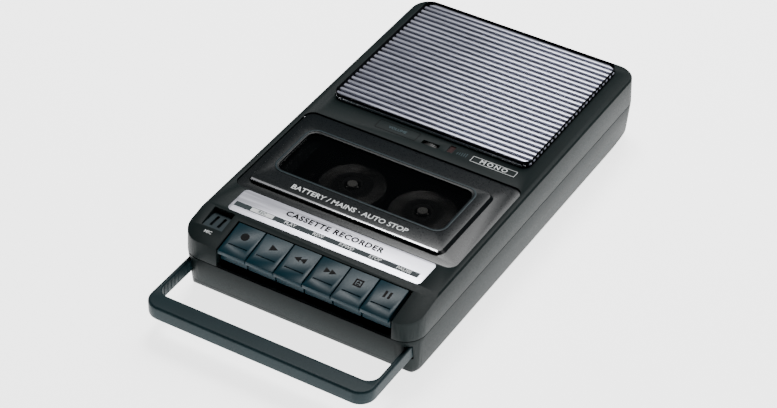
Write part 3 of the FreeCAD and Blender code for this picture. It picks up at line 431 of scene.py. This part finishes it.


# the front band gets the brighter trim silver instead of the grille silver: a painted highlight for the
# light its face catches
band = grilleBar("grilleBand", grilleLow.y, grilleLow.y + grille["band"], grille["bandRound"])
smooth(band, 40)
settle(band, "root", finishes["bright_trim"], "grille")
bars = []
start = grilleLow.y + grille["band"] + grille["gap"]
while start < grilleHigh.y - grille["lastSliver"]:
    stop = start + grille["pitch"] - grille["gap"]
    if stop > grilleHigh.y - grille["gap"]:
        stop = grilleHigh.y
    bars.append(grilleBar(f"grilleBar{len(bars)}", start, stop, grille["round"]))
    start += grille["pitch"]
barSet = joinAll(bars, "grilleBars")
smooth(barSet, 40)
settle(barSet, "root", finishes["grille"], "grille", "speaker_grille")


def grilleTray(name, inset, low, high):
    tray = slab(name, (grilleLow.x + inset, grilleLow.y + inset, low),
                (grilleHigh.x - inset, grilleHigh.y - inset, high), 0)
    for edge in tray.data.edges:
        ends = [tray.data.vertices[v].co for v in edge.vertices]
        edge.select = abs(ends[0].z - ends[1].z) > 0.00005
    pick(tray)
    bpy.ops.object.mode_set(mode="EDIT")
    bpy.ops.mesh.select_mode(type="EDGE")
    bpy.ops.mesh.bevel(offset=grille["corner"] - inset, segments=8, affect="EDGES")
    leaveEdit()
    return tray


grilleCloth = grilleTray("grilleCloth", grille["clothInset"], grilleLow.z, grilleLow.z + grille["floor"])
settle(grilleCloth, "root", finishes["cloth"], "grille")
print("grille done")

handleLow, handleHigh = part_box("carrying_handle")
handleSetup = {
    "edge": 0.0009, "armWall": 0.0026, "ribs": 9, "ribPitch": 0.0031, "ribDeep": 0.0002, "ribRoot": 0.0003,
    "ribStart": 0.0135, "ribLong": 0.0011, "ribMargin": 0.0016, "ribEdge": 0.00015,
}
handlePiece = softCopy("carrying_handle", "carryingHandle", handleSetup["edge"], 3, 50)
settle(handlePiece, "handle", finishes["handle"], "handle", "carrying_handle")
ribs = []
for side in (-1, 1):
    face = side * (handleHigh.x - handleSetup["armWall"])
    for index in range(handleSetup["ribs"]):
        y = handleLow.y + handleSetup["ribStart"] + index * handleSetup["ribPitch"]
        lowX, highX = sorted((face + side * handleSetup["ribRoot"], face - side * handleSetup["ribDeep"]))
        ribs.append(slab(f"armRib{index}", (lowX, y, handleLow.z + handleSetup["ribMargin"]),
                         (highX, y + handleSetup["ribLong"], handleHigh.z - handleSetup["ribMargin"]),
                         handleSetup["ribEdge"]))
ribSet = joinAll(ribs, "handleRibs")
smooth(ribSet)
settle(ribSet, "handle", finishes["handle"], "handle")
print("handle done")

keySetup = {
    "edge": 0.00035, "slopeLength": 0.0255, "slopeDrop": 0.005, "capRear": 0.0203, "markRise": 0.00016,
    "markY": 0.0133, "dot": 0.0023, "arrow": 0.0027, "pairArrow": 0.00216,
}
keySlope = math.atan2(keySetup["slopeDrop"], keySetup["slopeLength"])
keyNames = ["record_key", "play_key", "rewind_key", "forward_key", "stop_key", "pause_key"]


def onKeyTop(nodeName, forward, side=0.0):  # a spot on a key's sloping top
    low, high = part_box(nodeName)
    topRear = high.z
    capRear = low.y + keySetup["capRear"]
    y = low.y + forward
    z = topRear - (capRear - y) * keySetup["slopeDrop"] / keySetup["slopeLength"]
    return Vector(((low.x + high.x) / 2 + side, y, z + keySetup["markRise"] * 0.4))


def flatMark(name, sides, radius, centre, squash=(1, 1), spin=0.0):
    clearSelection()
    bpy.ops.mesh.primitive_cylinder_add(vertices=sides, radius=radius, depth=keySetup["markRise"])
    mark = bpy.context.object
    mark.name = name
    mark.rotation_euler = (0, 0, spin)
    bakePlace(mark)
    mark.scale = (squash[0], squash[1], 1)
    bakePlace(mark)
    editAll(mark)
    bpy.ops.mesh.inset(thickness=radius * 0.08, depth=keySetup["markRise"] * 0.2)
    leaveEdit()
    mark.rotation_euler = (keySlope, 0, 0)
    mark.location = centre
    bakePlace(mark)
    return mark


def barMark(name, width, length, centre):
    half = keySetup["markRise"] / 2
    bar = slab(name, (-width / 2, -length / 2, -half), (width / 2, length / 2, half), 0.00004)
    bar.rotation_euler = (keySlope, 0, 0)
    bar.location = centre
    bakePlace(bar)
    return bar


def recordMark(nodeName, forward):
    return [flatMark("dotMark", 28, keySetup["dot"], onKeyTop(nodeName, forward))]


def playMark(nodeName, forward):
    spot = onKeyTop(nodeName, forward)
    return [flatMark("playMark", 3, keySetup["arrow"], spot, (1.0, 0.85), -math.pi / 2)]


def windMark(nodeName, forward, name, spin):  # two arrows side by side
    size = keySetup["pairArrow"]
    return [flatMark(name, 3, size, onKeyTop(nodeName, forward, side), (1, 0.85), spin)
            for side in (-0.0017, 0.0016)]


def stopMark(nodeName, forward):  # a square outline with an arrow and a bar in it
    edges = [(0.0047, 0.0008, 0, 0.0019), (0.0047, 0.0008, 0, -0.0019), (0.0008, 0.0046, 0.0019, 0),
             (0.0008, 0.0046, -0.0019, 0), (0.0021, 0.0006, 0, -0.0009)]
    bars = [barMark("stopEdge", width, length, onKeyTop(nodeName, forward + ahead, side))
            for width, length, side, ahead in edges]
    return bars + [flatMark("ejectMark", 3, 0.0011, onKeyTop(nodeName, forward + 0.0004), (1.1, 0.8), 0)]


def pauseMark(nodeName, forward):
    return [barMark("pauseBar", 0.0013, 0.0042, onKeyTop(nodeName, forward, side))
            for side in (-0.0013, 0.0013)]


marks = {
    "record_key": recordMark,
    "play_key": playMark,
    "rewind_key": lambda n, f: windMark(n, f, "backMark", math.pi / 2),
    "forward_key": lambda n, f: windMark(n, f, "aheadMark", -math.pi / 2),
    "stop_key": stopMark,
    "pause_key": pauseMark,
}
for nodeName in keyNames:
    keyPiece = softCopy(nodeName, nodeName.replace("_k", "K") + "Cap", keySetup["edge"], 2)
    settle(keyPiece, nodeName, finishes["keys"], "keys", nodeName)
    markSet = joinAll(marks[nodeName](nodeName, keySetup["markY"]), nodeName.replace("_key", "Mark"))
    settle(markSet, nodeName, finishes["printBlack"], "keys")
print("keys done")

plateLow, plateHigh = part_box("label_plate")
plateSetup = {
    "stripFront": 0.0041, "stripDeep": 0.0036, "print": 0.00008, "stripEnd": 0.0016, "stripRight": 0.002,
    "pillHalf": 0.0068, "pillDeep": 0.0014, "wordShift": 0.0015, "recSize": 0.0028, "wordSize": 0.0030,
    "titleSize": 0.0052, "titleRear": 0.0056,
}
platePiece = softCopy("label_plate", "labelPlate", 0.00015)
settle(platePiece, "root", finishes["label"], "label", "label_plate")
stripY = plateLow.y + plateSetup["stripFront"]
stripRight = plateHigh.x - plateSetup["stripEnd"] - plateSetup["stripRight"]
strip = slab("functionStrip", (plateLow.x + plateSetup["stripEnd"], stripY, plateHigh.z - 0.0001),
             (stripRight, stripY + plateSetup["stripDeep"], plateHigh.z + plateSetup["print"]), 0.00003)
settle(strip, "root", finishes["stripDark"], "label")
labelZ = plateHigh.z + plateSetup["print"] + 0.00003
stripMiddle = stripY + plateSetup["stripDeep"] / 2
functionWords = ["REC", "PLAY", "REW", "F.FWD", "STOP", "PAUSE"]
printed = []
for nodeName, text in zip(keyNames, functionWords):
    low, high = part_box(nodeName)
    x = (low.x + high.x) / 2 - plateSetup["wordShift"]
    if text == "REC":
        pillHalf, pillDeep = plateSetup["pillHalf"], plateSetup["pillDeep"]
        pill = slab("recordPill", (x - pillHalf, stripMiddle - pillDeep, labelZ - 0.0001),
                    (x + pillHalf, stripMiddle + pillDeep, labelZ + 0.00003), 0.00004)
        settle(pill, "root", finishes["printWhite"], "label")
        recWord = words(text, "recWord", plateSetup["recSize"], (x, stripMiddle, labelZ + 0.00006),
                        thick=0.00003)
        settle(recWord, "root", finishes["printGrey"], "label")
    else:
        printed.append(words(text, "word" + text.replace(".", ""), plateSetup["wordSize"],
                             (x, stripMiddle, labelZ), thick=0.00003, weight=0.02))
wordSet = joinAll(printed, "functionWords")
settle(wordSet, "root", finishes["printWhite"], "label")
titleSpot = ((plateLow.x + plateHigh.x) / 2, plateHigh.y - plateSetup["titleRear"], plateHigh.z + 0.00005)
title = words("CASSETTE RECORDER", "plateTitle", plateSetup["titleSize"], titleSpot,
              thick=0.00004, spacing=1.15, weight=0.035)
settle(title, "root", finishes["printBlack"], "label")
print("label plate done")

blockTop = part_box("cassette_lid")[1].z
paneLow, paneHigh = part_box("lid_window")
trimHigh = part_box("lid_trim_strip")[1]
lidSetup = {"edge": 0.0005, "ridge": 0.0010, "ridgeRise": 0.0004, "printSize": 0.0049}
lidPiece = softCopy("cassette_lid", "cassetteLid", lidSetup["edge"], 3)
settle(lidPiece, "lid", finishes["lid"], "lid", "cassette_lid")
trimPiece = softCopy("lid_trim_strip", "lidTrimStrip", 0.00015)
settle(trimPiece, "lid", finishes["bright_trim"], "bright_trim", "lid_trim_strip")


def ringRidge(name, x0, x1, y0, y1, z, width, rise, corner):
    # a raised line round a rounded rectangle
    clearSelection()
    bpy.ops.mesh.primitive_plane_add(size=1, location=((x0 + x1) / 2, (y0 + y1) / 2, z))
    ring = bpy.context.object
    ring.name = name
    ring.scale = (x1 - x0, y1 - y0, 1)
    bakePlace(ring)
    editAll(ring)
    bpy.ops.mesh.bevel(offset=corner, segments=10, affect="VERTICES")
    bpy.ops.mesh.select_all(action="SELECT")
    bpy.ops.mesh.inset(thickness=width)
    bpy.ops.mesh.delete(type="FACE")
    bpy.ops.mesh.select_all(action="SELECT")
    bpy.ops.mesh.normals_make_consistent(inside=False)
    leaveEdit()
    pick(ring)
    wall = ring.modifiers.new("wall", "SOLIDIFY")
    wall.thickness = rise
    wall.offset = 1.0
    bpy.ops.object.modifier_apply(modifier=wall.name)
    applyBevel(ring, min(width, rise) * 0.3, 2)
    smooth(ring)
    return ring


ridge = ringRidge("windowRidge", paneLow.x - 0.0004, paneHigh.x + 0.0004, paneLow.y - 0.0002,
                  paneHigh.y + 0.0010, blockTop - 0.0001, lidSetup["ridge"], lidSetup["ridgeRise"], 0.0068)
settle(ridge, "lid", finishes["mic_trim"], "lid")
lidText = words("BATTERY / MAINS · AUTO STOP", "lidWords", lidSetup["printSize"],
                (paneLow.x / 2 + paneHigh.x / 2 + 0.001, (trimHigh.y + paneLow.y) / 2 - 0.0012,
                 blockTop + 0.00005), thick=0.00004)
settle(lidText, "lid", finishes["printWhite"], "lid")
print("lid done")

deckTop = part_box("upper_shell")[1].z
badgeSetup = {"x0": 0.0292, "x1": 0.0558, "y0": 0.0222, "y1": 0.0270, "line": 0.00028}
badge = ringRidge("badgeFrame", badgeSetup["x0"], badgeSetup["x1"], badgeSetup["y0"], badgeSetup["y1"],
                  deckTop, badgeSetup["line"], 0.0001, 0.0004)
settle(badge, "root", finishes["printWhite"], "label")
badgeSpot = ((badgeSetup["x0"] + badgeSetup["x1"]) / 2, (badgeSetup["y0"] + badgeSetup["y1"]) / 2,
             deckTop + 0.00005)
badgeWord = words("MONO", "badgeWord", 0.0044, badgeSpot, thick=0.00004, spacing=1.35)
settle(badgeWord, "root", finishes["printWhite"], "label")
levelSetup = {
    "frameX": (-0.0290, -0.0040), "frameY": (0.0215, 0.0290), "word": (-0.0165, 0.0252), "wordSize": 0.0028,
    "ticks": 5, "tickX": 0.0205, "tickPitch": 0.0013, "tickFront": 0.0235, "tickRear": 0.0255,
    "tickWide": 0.0003,
}
levelFrame = ringRidge("levelFrame", *levelSetup["frameX"], *levelSetup["frameY"], deckTop, 0.0003,
                       0.00012, 0.0006)
settle(levelFrame, "root", finishes["printBlack"], "case")
levelWord = words("VOLUME", "levelWord", levelSetup["wordSize"], (*levelSetup["word"], deckTop + 0.00005),
                  thick=0.00004)
settle(levelWord, "root", finishes["printGrey"], "case")
scale = []
for index in range(levelSetup["ticks"]):
    x = levelSetup["tickX"] + index * levelSetup["tickPitch"]
    rear = levelSetup["tickRear"] + levelSetup["tickWide"] * index  # each tick is longer than the last
    scale.append(slab(f"scaleTick{index}", (x, levelSetup["tickFront"], deckTop - 0.00005),
                      (x + levelSetup["tickWide"], rear, deckTop + 0.00008), 0.00002))
scaleSet = joinAll(scale, "levelScale")
settle(scaleSet, "root", finishes["printGrey"], "case")
micLow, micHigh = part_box("microphone_cover")
micWord = words("MIC", "micWord", 0.0026,
                ((micLow.x + micHigh.x) / 2, micLow.y - 0.0033, deckTop - 0.00338),
                tilt=keySlope, thick=0.00004)
settle(micWord, "root", finishes["printWhite"], "case")
print("marks done")
